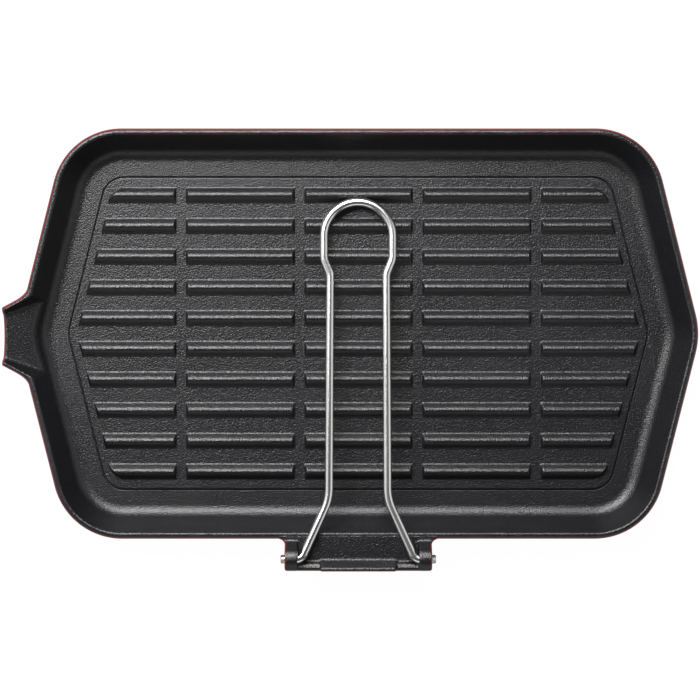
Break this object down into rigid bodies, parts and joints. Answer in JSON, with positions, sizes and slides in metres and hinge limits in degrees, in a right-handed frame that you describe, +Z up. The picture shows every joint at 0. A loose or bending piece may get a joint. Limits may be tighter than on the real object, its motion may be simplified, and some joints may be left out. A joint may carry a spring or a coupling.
{
  "type": "folding-handle grill pan",
  "caption": "Long six-sided enamelled cast-iron grill pan with a ribbed floor, a pouring spout at one end and a bent wire handle that folds in over the ribs.",
  "frame": {"origin": "on the surface the pan stands on, under the middle of its overall box", "axes": "+X along the pan away from the spout, +Y across it away from the hinge, +Z up"},
  "size_m": [0.3608, 0.2292, 0.034],
  "materials": {
    "black_enamel": "satin",
    "stainless_wire": "polished"
  },
  "bodies": {
    "pan": {"pan_casting": "black_enamel"},
    "handle": {"wire_handle": "stainless_wire"}
  },
  "joints": [
    {"name": "handle_fold", "type": "hinge", "parent": "pan", "child": "handle", "pos_m": [0.0043, -0.10805, 0.0279], "axis": [1, 0, 0], "range_deg": [0, 167.5]}
  ]
}
